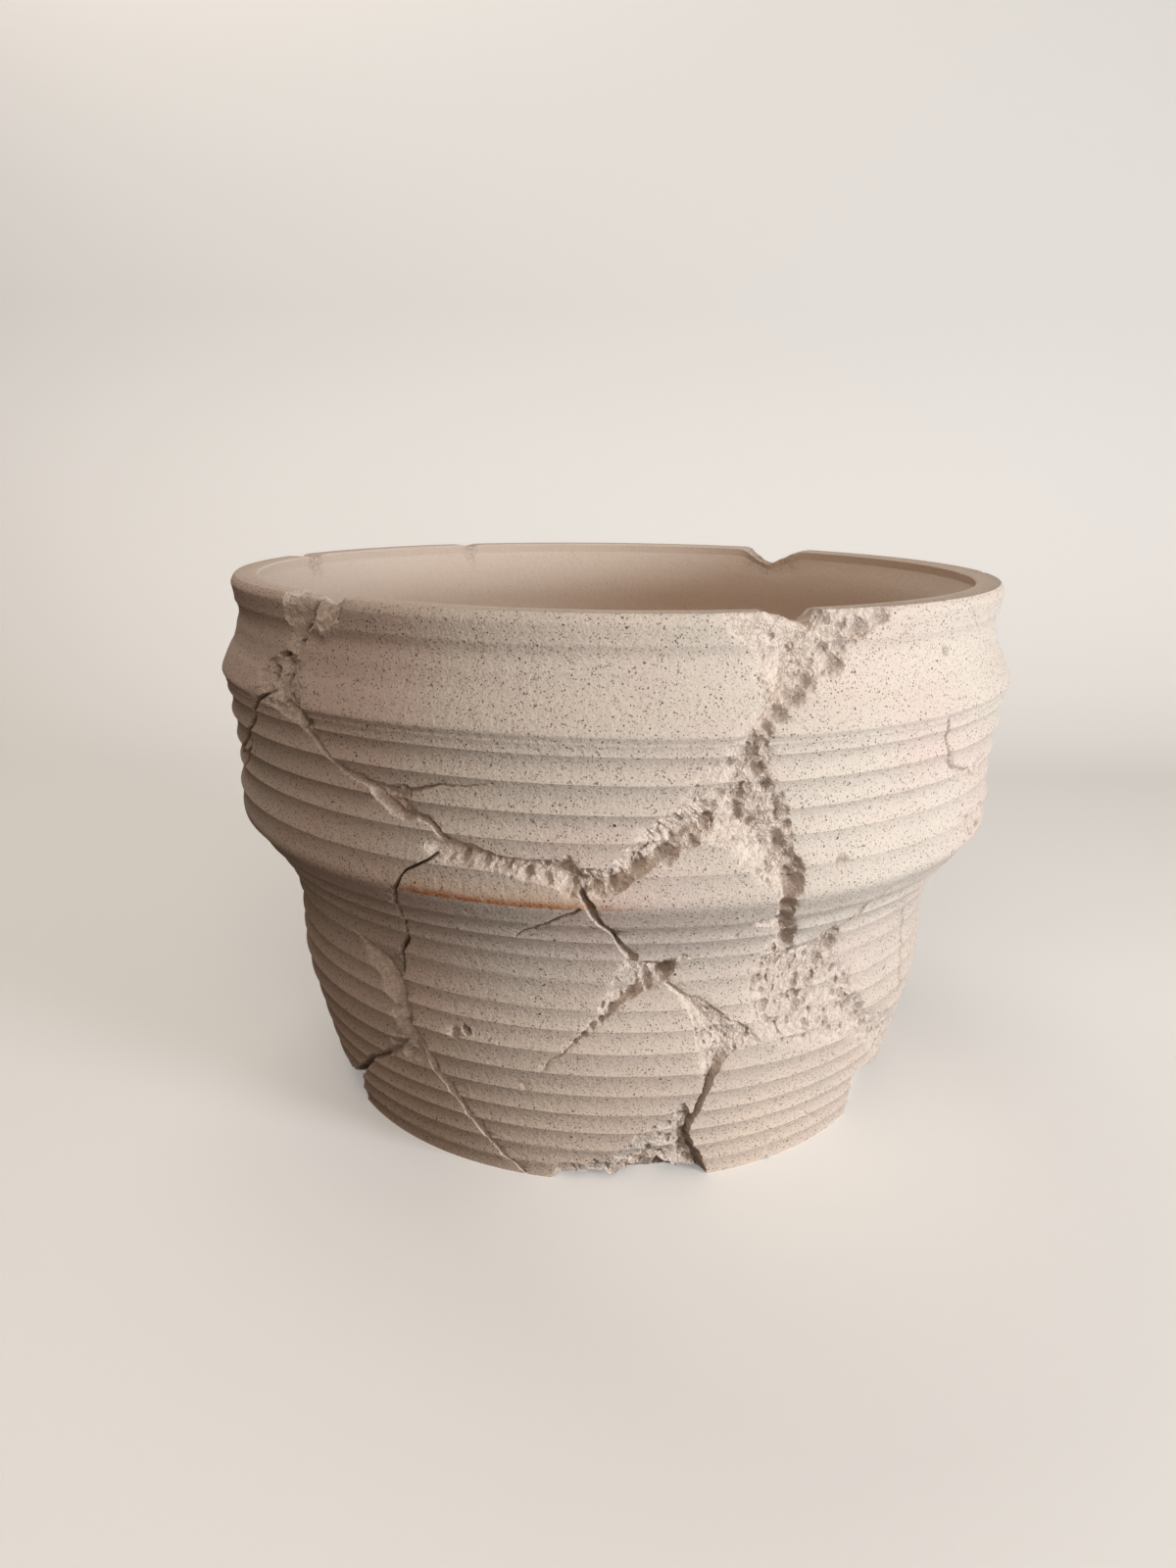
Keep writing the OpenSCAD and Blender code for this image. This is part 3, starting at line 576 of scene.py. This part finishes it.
def break_depth(x, y, shape, seed):
    """Depth of a break, and how much shade to paint where a place lies in a pit, from 0 to 1."""
    wx, wy = ragged(x, y, 0.7, 2.6, seed)
    edge = np.clip(inside_outline(wx, wy, shape["outline"]), 0, None)
    spine, (depth,) = near_line(x, y, shape["deepest"])
    weight = depth / max(place[2] for place in shape["deepest"])
    smooth = depth * edge / (edge + spine + 0.3)
    texture = shape["rough"] * weight * break_texture(x, y, shape["grain"], seed + 40)
    pit_size, pit_share, pit_depth = shape.get("pits", NO_PITS)
    px, py = ragged(x, y, 0.35 * pit_size, 0.8 * pit_size, seed + 60)
    pits = pitted(px, py, pit_size, pit_share * weight, seed + 70)
    lip = np.clip(edge / shape.get("fade", SHARP), 0, 1)
    deep = smooth + lip * (0.4 + texture + pit_depth * pits)
    return np.clip(deep, 0.2 * lip, WALL - BEHIND_BREAKS), 0.45 * lip * pits


def bite_depth(x, y, bite, seed):
    """Depth of an angular scoop, and how much shade to paint at each place down in it, from 0 to 1."""
    angle, height, radius = bite
    bx, by = across(angle, height)
    wx, wy = ragged(x, y, 0.16 * radius, 0.7 * radius, seed)
    reach = np.zeros(x.shape)
    sides = np.arange(6)
    turns = math.tau * (sides + 0.7 * hashed(sides, sides * 0, seed)) / len(sides)
    sizes = 0.8 + 0.4 * hashed(sides, sides * 0 + 1, seed)
    for turn, size in zip(turns, sizes):
        reach = np.maximum(reach, ((wx - bx) * math.cos(turn) + (wy - by) * math.sin(turn)) / (size * radius))
    share = np.clip(1 - reach, 0, 1)
    return 0.65 * radius * share**0.6, 0.5 * share**0.7


def set_back_depth(x, y, outline, back, seed):
    """How far the wall is set back inside an outline, which has no pits in it and no painted shade."""
    edge = inside_outline(*ragged(x, y, 0.7, 3, seed), outline)
    return back * np.clip(edge / 0.6, 0, 1), 0 * x


def wall_damage(angle, height):
    """How far the outside of the wall has gone in at each place, and how much shade to paint
    there for lying down in a pit, a crack or a scoop, from 0 to 1."""
    x, y = across(angle, height)
    depth = np.zeros(x.shape)
    # hollow: how much shade is painted at each place down in a pit, crack or scoop
    hollow = np.zeros(x.shape)

    def carve(places, margin, make, add=False):
        near = close_to(x, y, places, margin)
        if near.any():
            cut, dark = make(x[near], y[near])
            depth[near] = depth[near] + cut if add else np.maximum(depth[near], cut)
            hollow[near] = np.maximum(hollow[near], dark)

    for i, shape in enumerate(BREAKS.values()):
        carve(shape["outline"], 3, lambda u, v: break_depth(u, v, shape, BREAK_SEED + 10 * i))
    for i, row in enumerate(CRACKS.values()):
        carve(row, 5, lambda u, v: crack_depth(u, v, row, CRACK_SEED + 10 * i))
    for i, bite in enumerate(BITES):
        carve([bite], bite[2] * 2, lambda u, v: bite_depth(u, v, bite, BITE_SEED + i), add=True)
    for i, (outline, back) in enumerate(SET_BACK):
        carve(outline, 3, lambda u, v: set_back_depth(u, v, outline, back, SET_BACK_SEED + i))
    return np.minimum(depth, WALL - BEHIND_DAMAGE), hollow


# ---------------------------------------------------------------- the skin

# Angles that the columns run between, and the step from one to the next
COLUMN_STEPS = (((-70, 70, 0.16), (70, 290, 0.7)))
ROW_STEP = 0.36
INNER_STEP = 3.0
TRIANGLES = 194000


def columns():
    """Angles of the columns, closer together where the damage is."""
    angles = [np.arange(start, end, step) for start, end, step in COLUMN_STEPS]
    return np.concatenate(angles)


def outer_rows():
    """Heights of the outside's rows: one on each ring's crest, and even steps between."""
    top = HEIGHT - RIM_ROUND
    crests = [ring[0] for ring in RINGS if ring[0] < top] + [top]
    rows = []
    for low, high in zip(crests, crests[1:]):
        rows.extend(np.linspace(low, high, max(1, round((high - low) / ROW_STEP)), endpoint=False))
    return np.array(rows + [top])


def inner_line():
    """Inside of the pot as (radius, height), from the rim down to the floor's middle."""
    heights = np.arange(HEIGHT - RIM_ROUND, FLOOR_T + FLOOR_CORNER_R, -INNER_STEP)
    slope = np.gradient(outside_r(heights), heights)
    slope = np.clip(slope, -0.3, 0.95)
    wall = [(outside_r(h) - WALL * math.hypot(1, s), h) for h, s in zip(heights, slope)]
    corner_r = wall[-1][0]
    turn = np.radians(np.linspace(0, 90, 12)[1:])
    corner = [
        (corner_r - FLOOR_CORNER_R * (1 - math.cos(t)), FLOOR_T + FLOOR_CORNER_R * (1 - math.sin(t)))
        for t in turn
    ]
    floor = [(r, FLOOR_T) for r in np.linspace(corner[-1][0], 0, 22)[1:-1]]
    return np.array(wall + corner + floor)


def rim_drop(angle, share):
    """How far the rim has gone down; share is 0 at its outer edge and 1 at its inner one."""
    at = signed(angle)
    drop = np.interp(at, *zip(*RIM_NOTCHES))
    chipped = np.clip(drop / 0.6, 0, 1)
    uneven = rough_noise(at * ARC, share * WALL, 2.2, RIM_SEED, 3)
    return np.clip(drop * (1 - 0.12 * share) + 0.6 * chipped * uneven, 0, None)


def foot_rise(angle):
    """Height of the underside at the edge of the foot."""
    at = signed(angle)
    rise = np.interp(at, *zip(*FOOT_ARCH))
    uneven = rough_noise(at * ARC, 0 * at, 1.6, FOOT_SEED, 2)
    return np.clip(rise + 0.5 * np.clip(rise, 0, 1) * uneven, 0, None)


def lowered(height, drop):
    """Heights near the rim, drawn down where the rim has gone."""
    share = np.clip((height - (HEIGHT - RIM_REACH)) / RIM_REACH, 0, 1)
    return height - share * drop


def outer_wall(angle):
    """Radius and height of the outside, as (rows, columns) arrays."""
    wide_angle, base_height = np.meshgrid(angle, outer_rows())
    at = signed(wide_angle)
    around = np.radians(at)
    wander = 0.25 * np.sin(2 * around + base_height / 17) + 0.15 * np.sin(5 * around - base_height / 9)
    settle = np.clip(base_height / 6, 0, 1) * np.clip((HEIGHT - base_height) / 6, 0, 1)
    height = base_height + wander * settle
    radius = outside_r(base_height) - ring_hollow(base_height)
    radius = radius - 0.15 * (1 + np.sin(3 * around + base_height / 31))
    depth, _ = wall_damage(at, height)
    height = lowered(height, rim_drop(angle, 0.0))
    share = np.clip(1 - height / FOOT_REACH, 0, 1)
    return radius - depth, height + share * foot_rise(angle)


def inner_wall(angle):
    """Radius and height of the inside, from the rim down to the floor's middle."""
    line = inner_line()
    radius = line[:, :1] + 0 * angle
    height = line[:, 1:] + 0 * angle
    return radius, lowered(height, rim_drop(angle, 1.0))


def rim_top(angle, outer_r, inner_r):
    """Radius and height of the top of the rim, from its outer edge to its inner one."""
    outer = outer_r - RIM_ROUND
    inner = inner_r + RIM_ROUND
    shares = np.linspace(0, 1, 11)
    radius = [outer + (inner - outer) * share for share in shares]
    height = [HEIGHT - rim_drop(angle, share) for share in shares]
    return radius, height


def underside(angle, foot_r):
    """Radius and height of the underside, from near its middle out to the edge of the foot."""
    rise = foot_rise(angle)
    shares = np.linspace(0, 1, 8)[:0:-1]
    edge_r = [foot_r - ARCH_DEPTH * share for share in shares]
    edge_h = [rise * (1 - share) for share in shares]
    flat_r = [edge_r[0] * share for share in np.linspace(0, 1, 14)[1:-1]]
    flat_h = [0 * foot_r for _ in flat_r]
    return flat_r + edge_r, flat_h + edge_h


def body_grid():
    """Radius and height of every point of the skin, as (rows, columns) arrays, and the angles."""
    angle = columns()
    outer_r, outer_h = outer_wall(angle)
    inner_r, inner_h = inner_wall(angle)
    under_r, under_h = underside(angle, outer_r[0])
    rim_r, rim_h = rim_top(angle, outer_r[-1], inner_r[0])
    radius = np.vstack([under_r, outer_r, rim_r, inner_r])
    height = np.vstack([under_h, outer_h, rim_h, inner_h])
    return angle, radius, height


def skin_mesh():
    """The closed skin: a pole under the base, the grid, and a pole on the floor."""
    angle, radius, height = body_grid()
    turn = np.radians(angle)
    count = len(angle)
    points = np.stack([radius * np.sin(turn), -radius * np.cos(turn), height], axis=-1).reshape(-1, 3)
    points = np.vstack([points, [[0, 0, 0], [0, 0, FLOOR_T]]]) * MM
    rows = len(radius)
    i = np.arange(rows - 1)[:, None] * count
    j = np.arange(count)[None, :]
    k = (j + 1) % count
    quads = np.stack([i + j, i + k, i + count + k, i + count + j], axis=-1).reshape(-1, 4)
    under, floor = len(points) - 2, len(points) - 1
    last = (rows - 1) * count
    fans = [(under, b, a) for a, b in zip(j[0], k[0])]
    fans += [(floor, last + a, last + b) for a, b in zip(j[0], k[0])]
    mesh = bpy.data.meshes.new("pot_body")
    mesh.from_pydata(points.tolist(), [], quads.tolist() + [tuple(map(int, f)) for f in fans])
    return mesh


def thinned(piece, triangles):
    """Collapses the mesh where it is smooth, and applies the result."""
    mesh = piece.data
    mesh.calc_loop_triangles()
    modifier = piece.modifiers.new("thin", "DECIMATE")
    modifier.ratio = min(1, triangles / len(mesh.loop_triangles))
    depsgraph = bpy.context.evaluated_depsgraph_get()
    result = bpy.data.meshes.new_from_object(piece.evaluated_get(depsgraph))
    piece.modifiers.clear()
    piece.data = result
    bpy.data.meshes.remove(mesh)


def kept_level(mesh):
    """Thinning can lift a flat part by a hair: puts it back between the ground and the rim."""
    co = np.empty(len(mesh.vertices) * 3, np.float32)
    mesh.vertices.foreach_get("co", co)
    co[2::3] = np.clip(co[2::3], 0, HIGH.z)
    mesh.vertices.foreach_set("co", co)


def pot_body():
    """The thrown pot with its damage, as one closed mesh."""
    piece = bpy.data.objects.new("pot_body", skin_mesh())
    bpy.context.scene.collection.objects.link(piece)
    thinned(piece, TRIANGLES)
    tidy = bmesh.new()
    tidy.from_mesh(piece.data)
    bmesh.ops.dissolve_degenerate(tidy, edges=tidy.edges, dist=1e-6)
    bmesh.ops.triangulate(tidy, faces=tidy.faces)
    tidy.to_mesh(piece.data)
    tidy.free()
    kept_level(piece.data)
    mark_breaks(piece.data)
    piece.data.shade_smooth()
    piece.data.set_sharp_from_angle(angle=math.radians(32))
    return piece


def mark_breaks(mesh):
    """Stores for the material, from 0 to 1, where the clay is broken and how much shade to paint for lying
    deep in a pit, a crack or a scoop.
    """
    co = np.empty(len(mesh.vertices) * 3, np.float32)
    mesh.vertices.foreach_get("co", co)
    x, y, z = (co.reshape(-1, 3) / MM).T.astype(float)
    angle = np.degrees(np.arctan2(x, -y))
    on_outside = np.hypot(x, y) > outside_r(z) - WALL + 1
    depth, hollow = wall_damage(angle, z)
    chipped = np.clip(rim_drop(angle, 0.5) / 0.6, 0, 1) * (z > HEIGHT - 9)
    broken = np.maximum(on_outside * np.clip(depth / 0.7, 0, 1), chipped)
    # hollow carries the painted shade of pits, cracks and scoops to the material
    for name, values in (("broken", broken), ("hollow", on_outside * hollow), ("inside", ~on_outside)):
        attribute = mesh.attributes.new(name, "FLOAT", "POINT")
        attribute.data.foreach_set("value", values.astype(np.float32))


# ---------------------------------------------------------------- material


class Nodes:
    """Short ways to add and join shader nodes."""

    def __init__(self, tree):
        self.tree = tree

    def add(self, kind, inputs=(), **settings):
        node = self.tree.nodes.new(kind)
        for name, value in settings.items():
            setattr(node, name, value)
        for name, value in dict(inputs).items():
            self.give(node.inputs[name], value)
        return node

    def give(self, socket, value):
        if isinstance(value, bpy.types.NodeSocket):
            self.tree.links.new(value, socket)
        else:
            socket.default_value = value

    def math(self, operation, *values, clamp=False):
        node = self.add("ShaderNodeMath", operation=operation, use_clamp=clamp)
        for socket, value in zip(node.inputs, values):
            self.give(socket, value)
        return node.outputs[0]

    def ramp(self, value, low, high):
        """0 below low, 1 above high, smooth between."""
        node = self.add(
            "ShaderNodeMapRange",
            {"Value": value, "From Min": low, "From Max": high},
            interpolation_type="SMOOTHSTEP",
        )
        return node.outputs["Result"]

    def mix(self, share, first, second):
        node = self.add("ShaderNodeMix", data_type="RGBA")
        # The colour inputs of a Mix node share their names with its other kinds
        for i, value in ((0, share), (6, first), (7, second)):
            self.give(node.inputs[i], value)
        return node.outputs[2]

    def noise(self, place, scale, detail=3.0, roughness=0.55):
        node = self.add(
            "ShaderNodeTexNoise", {"Vector": place, "Scale": scale, "Detail": detail, "Roughness": roughness}
        )
        return node.outputs["Fac"]

    def specks(self, place, scale, share, size):
        """Round specks of uneven size and darkness in a share of the cells of a random pattern."""
        cells = self.add("ShaderNodeTexVoronoi", {"Vector": place, "Scale": scale, "Randomness": 1.0})
        own = self.add("ShaderNodeSeparateColor", {"Color": cells.outputs["Color"]}).outputs
        chosen = self.math("LESS_THAN", own[0], share)
        reach = self.math("MULTIPLY", size, self.math("ADD", 0.35, self.math("POWER", own[1], 3.0)))
        near = self.ramp(self.math("DIVIDE", cells.outputs["Distance"], reach), 1.0, 0.5)
        dark = self.math("ADD", 0.5, self.math("MULTIPLY", own[2], 0.5))
        return self.math("MULTIPLY", self.math("MULTIPLY", chosen, near), dark)


def rgb(red, green, blue):
    """A colour given as it looks on the screen, 0 to 255."""
    def linear(value):
        value = value / 255
        return value / 12.92 if value <= 0.04045 else ((value + 0.055) / 1.055) ** 2.4
    return (linear(red), linear(green), linear(blue), 1.0)


CLAY = rgb(219, 207, 194)
CLAY_PINK = rgb(220, 201, 190)
CLAY_GREY = rgb(209, 197, 184)
CLAY_WARM = rgb(226, 203, 184)
INSIDE = rgb(230, 215, 201)
BREAK_PALE = rgb(226, 211, 198)
# Painted shade along the crevices of broken clay
CREVICE_SHADE = rgb(150, 124, 106)
# Painted shade deep in pits, cracks and scoops, partly also the darker clay inside them
PIT_AND_CRACK_SHADE = rgb(76, 56, 45)
SPECK_DARK = rgb(46, 32, 25)
SPECK_BROWN = rgb(80, 57, 43)
FLASH_OCHRE = rgb(190, 112, 52)
FLASH_TINT = rgb(202, 172, 142)


def stored(n, name):
    """What mark_breaks stored at each point of the mesh."""
    return n.add("ShaderNodeAttribute", attribute_name=name).outputs["Fac"]


def clay_tone(n, place, height, broken, inner):
    """Colour of the clay: drifts of pink and grey, warmer at the foot, pale where it is broken."""
    tone = n.mix(n.ramp(n.noise(place, 16, 4), 0.42, 0.66), CLAY, CLAY_PINK)
    tone = n.mix(n.math("MULTIPLY", n.ramp(height, 90, 10), 0.7), tone, CLAY_WARM)
    tone = n.mix(n.ramp(n.noise(place, 9, 3), 0.5, 0.75), tone, CLAY_GREY)
    tone = n.mix(broken, tone, BREAK_PALE)
    return n.mix(inner, tone, INSIDE)


def with_flash(n, tone, place, axes, height):
    """The ochre flash along the edge of the overhang, left of the front."""
    turn = n.math("ARCTAN2", axes.outputs["X"], n.math("MULTIPLY", axes.outputs["Y"], -1.0))
    from_left = n.ramp(turn, math.radians(-31), math.radians(-23))
    to_right = n.ramp(turn, math.radians(6), math.radians(-8))
    sideways = n.math("MULTIPLY", from_left, to_right)
    above_edge = n.math("MULTIPLY", n.ramp(height, 100.4, 101.2), sideways)
    tint = n.math("MULTIPLY", above_edge, n.ramp(height, 110, 102))
    flash = n.math("MULTIPLY", above_edge, n.ramp(height, 103.4, 101.4))
    flash = n.math("MULTIPLY", flash, n.ramp(n.noise(place, 420, 4, 0.7), 0.3, 0.55))
    tone = n.mix(n.math("MULTIPLY", tint, 0.6), tone, FLASH_TINT)
    return n.mix(n.math("MULTIPLY", flash, 0.85), tone, FLASH_OCHRE)


def with_shadowed_breaks(n, tone, torn, broken):
    """Painted shade: dark crevices between the ridges of the broken clay, and dark pits and cracks, where it
    is partly also the darker clay inside them.
    """
    # Painted shade along the crevices between the torn ridges
    crevice_shade = n.math("MULTIPLY", n.ramp(torn, 0.05, 0.0), broken)
    tone = n.mix(n.math("MULTIPLY", crevice_shade, 0.4), tone, CREVICE_SHADE)
    # Painted shade down in pits, cracks and scoops, set by the stored hollow
    return n.mix(n.math("MULTIPLY", stored(n, "hollow"), 0.8), tone, PIT_AND_CRACK_SHADE)


def with_specks(n, tone, place, broken, inner):
    """Specks of four sizes and a dust of finer ones, fainter where it is broken or inside."""
    face = n.math("SUBTRACT", 1.0, n.math("MULTIPLY", n.math("MAXIMUM", broken, inner), 0.8))
    fine = n.specks(place, 1700, 0.85, 0.44)
    small = n.specks(place, 1100, 0.8, 0.35)
    middle = n.specks(place, 450, 0.5, 0.19)
    large = n.specks(place, 130, 0.13, 0.08)
    brown = n.math("MULTIPLY", n.math("MAXIMUM", fine, small), face)
    dark = n.math("MULTIPLY", n.math("MAXIMUM", middle, large), face)
    dust = n.math("MULTIPLY", n.ramp(n.noise(place, 1900, 1, 0.5), 0.58, 0.7), face)
    tone = n.mix(n.math("MULTIPLY", dust, 0.24), tone, SPECK_BROWN)
    tone = n.mix(n.math("MULTIPLY", brown, 0.95), tone, SPECK_BROWN)
    return n.mix(dark, tone, SPECK_DARK)


def clay_bump(n, place, torn, broken):
    """Grain too fine for the mesh: sandy all over, and ridged where the clay is broken."""
    grain = n.noise(place, 1400, 2, 0.6)
    coarse = n.noise(place, 420, 3, 0.6)
    bumps = n.math("ADD", n.math("MULTIPLY", grain, 0.5), coarse)
    ridges = n.math("MULTIPLY", n.math("MINIMUM", torn, 0.12), n.math("MULTIPLY", broken, 9.0))
    bumps = n.math("ADD", bumps, ridges)
    bump = n.add("ShaderNodeBump", {"Height": bumps, "Strength": 0.5, "Distance": 0.0006})
    return bump.outputs["Normal"]


def stoneware():
    """Matt speckled stoneware."""
    material = bpy.data.materials.new("speckled_stoneware")
    material.use_nodes = True
    tree = material.node_tree
    tree.nodes.clear()
    n = Nodes(tree)
    place = n.add("ShaderNodeTexCoord").outputs["Object"]
    axes = n.add("ShaderNodeSeparateXYZ", {"Vector": place})
    height = n.math("DIVIDE", axes.outputs["Z"], MM)
    broken, inner = stored(n, "broken"), stored(n, "inside")
    # Ridges of the torn clay, 0 along the crevices between them, where shade is painted
    torn = n.math("ABSOLUTE", n.math("SUBTRACT", n.noise(place, 330, 4, 0.65), 0.5))
    tone = clay_tone(n, place, height, broken, inner)
    tone = with_flash(n, tone, place, axes, height)
    tone = with_shadowed_breaks(n, tone, torn, broken)
    colour = with_specks(n, tone, place, broken, inner)
    shader = n.add(
        "ShaderNodeBsdfPrincipled",
        {
            "Base Color": colour,
            "Roughness": 0.9,
            "Normal": clay_bump(n, place, torn, broken),
            "Specular IOR Level": 0.25,
        },
    )
    output = n.add("ShaderNodeOutputMaterial")
    tree.links.new(shader.outputs["BSDF"], output.inputs["Surface"])
    return material


# ---------------------------------------------------------------- the studio


PALE = rgb(228, 226, 222)
PALE_BOUNCE = rgb(74, 62, 52)
GLOW = 0.3  # how much of its own colour the paper shows, so that it stays pale in shade
ROOM_LIGHT = 0.16


def pale_paper():
    """Pale to look at, but it throws little light back up under the pot."""
    material = bpy.data.materials.new("pale_paper")
    material.use_nodes = True
    tree = material.node_tree
    n = Nodes(tree)
    seen = n.add("ShaderNodeLightPath").outputs["Is Camera Ray"]
    shader = tree.nodes["Principled BSDF"]
    n.give(shader.inputs["Base Color"], n.mix(seen, PALE_BOUNCE, PALE))
    n.give(shader.inputs["Roughness"], 0.9)
    n.give(shader.inputs["Emission Color"], PALE)
    n.give(shader.inputs["Emission Strength"], n.math("MULTIPLY", seen, GLOW))
    return material


def floor_and_backdrop():
    """A pale sweep: a floor that curves up into a backdrop behind the pot."""
    front, back, half_width, bend, top = -1.2, 0.75, 2.4, 0.35, 2.2
    bend_steps = 12
    line = [(front, 0.0), (back - bend, 0.0)]
    for step in range(1, bend_steps + 1):
        turn = math.radians(90 * step / bend_steps)
        line.append((back - bend + bend * math.sin(turn), bend * (1 - math.cos(turn))))
    line.append((back, top))
    points = [(side * half_width, y, z) for y, z in line for side in (-1, 1)]
    faces = [(2 * i, 2 * i + 1, 2 * i + 3, 2 * i + 2) for i in range(len(line) - 1)]
    mesh = bpy.data.meshes.new("sweep")
    mesh.from_pydata(points, [], faces)
    mesh.shade_smooth()
    sweep = bpy.data.objects.new("sweep", mesh)
    bpy.context.scene.collection.objects.link(sweep)
    sweep.data.materials.append(pale_paper())


def area_light(name, place, target, size, watts, colour):
    """A round soft light that faces a target."""
    data = bpy.data.lights.new(name, "AREA")
    data.shape = "DISK"
    data.size = size
    data.energy = watts
    data.color = colour
    light = bpy.data.objects.new(name, data)
    light.location = place
    light.rotation_euler = (Vector(target) - Vector(place)).to_track_quat("-Z", "Y").to_euler()
    bpy.context.scene.collection.objects.link(light)
    return light


def studio_light():
    """A side key with soft fills and a light behind, in a dim warm room."""
    middle = (0, 0, 0.1)
    area_light("key", (1.0, -0.67, 0.24), middle, 0.4, 13.6, (0.9, 0.95, 0.99))
    area_light("front", (0.4, -1.1, 0.25), middle, 0.3, 1.5, (1.0, 0.84, 0.74))
    area_light("high fill", (-0.1, -0.8, 1.1), middle, 1.0, 3.7, (1.0, 0.9, 0.81))
    back = area_light("back", (-0.35, 0.6, 0.95), middle, 0.8, 5.0, (1.0, 0.93, 0.86))
    back.visible_camera = False
    world = bpy.data.worlds.new("room")
    world.use_nodes = True
    n = Nodes(world.node_tree)
    seen = n.add("ShaderNodeLightPath").outputs["Is Camera Ray"]
    warm = tuple(ROOM_LIGHT * share for share in (1.0, 0.72, 0.52)) + (1,)
    n.give(world.node_tree.nodes["Background"].inputs["Color"], n.mix(seen, warm, PALE))
    bpy.context.scene.world = world
    bpy.context.scene.view_settings.view_transform = "Standard"


def camera():
    """The view from a phone held close to the pot, a little above its rim."""
    distance, height = 0.415, 0.214
    pitch, yaw, roll = math.radians(15.4), math.radians(-1.2), math.radians(0.6)
    data = bpy.data.cameras.new("camera")
    data.lens = 27.0
    data.sensor_width = 36.0
    view = bpy.data.objects.new("camera", data)
    forward = Vector((math.sin(yaw) * math.cos(pitch), math.cos(yaw) * math.cos(pitch), -math.sin(pitch)))
    level = Vector((math.cos(yaw), -math.sin(yaw), 0))
    up = level.cross(forward)
    right_axis = math.cos(roll) * level + math.sin(roll) * up
    up_axis = math.cos(roll) * up - math.sin(roll) * level
    turn = view.rotation_euler.to_matrix()
    turn.col[0], turn.col[1], turn.col[2] = right_axis, up_axis, -forward
    view.rotation_euler = turn.to_euler()
    view.location = (0, -distance, height)
    bpy.context.scene.collection.objects.link(view)
    bpy.context.scene.camera = view


camera()
studio_light()
floor_and_backdrop()
pot = pot_body()
pot.data.materials.append(stoneware())
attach(pot, "root")
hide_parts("pot")
